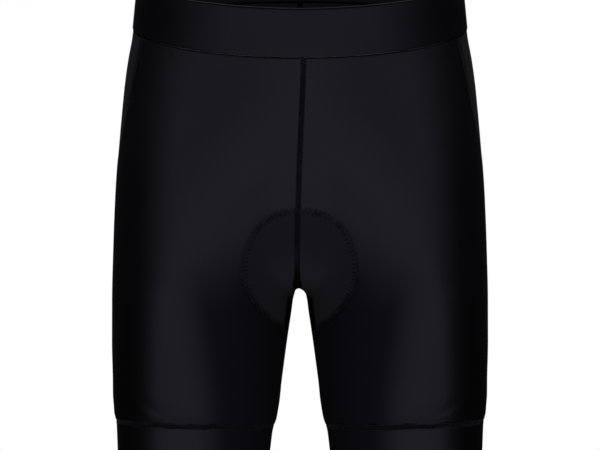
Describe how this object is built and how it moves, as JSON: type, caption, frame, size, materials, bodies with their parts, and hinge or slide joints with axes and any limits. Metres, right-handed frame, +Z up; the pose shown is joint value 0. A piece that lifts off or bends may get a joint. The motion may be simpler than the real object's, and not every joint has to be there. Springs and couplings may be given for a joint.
{
  "type": "cycling shorts",
  "caption": "Close-fitting cycling shorts, filled out as when worn, open at waist and legs, with a wide waistband, seamed stretch panels, tight leg bands and a moulded seat pad inside.",
  "frame": {"origin": "middle of the waist opening, level with the middle of the waistband at the sides, where the wearer's waist holds the shorts up", "axes": "+Z up along the body, front towards -Y, +X towards the wearer's left"},
  "size_m": [0.3614, 0.2487, 0.5122],
  "materials": {
    "cloth": "black stretch knit, smooth with a soft gloss",
    "band": "black elastic band, finely ribbed",
    "pad": "dark brushed knit over foam"
  },
  "bodies": {
    "root": {"waistband": "band", "front_left": "cloth", "front_right": "cloth", "back_left": "cloth", "back_right": "cloth", "leg_band_left": "band", "leg_band_right": "band", "seat_pad": "pad"}
  },
  "joints": []
}
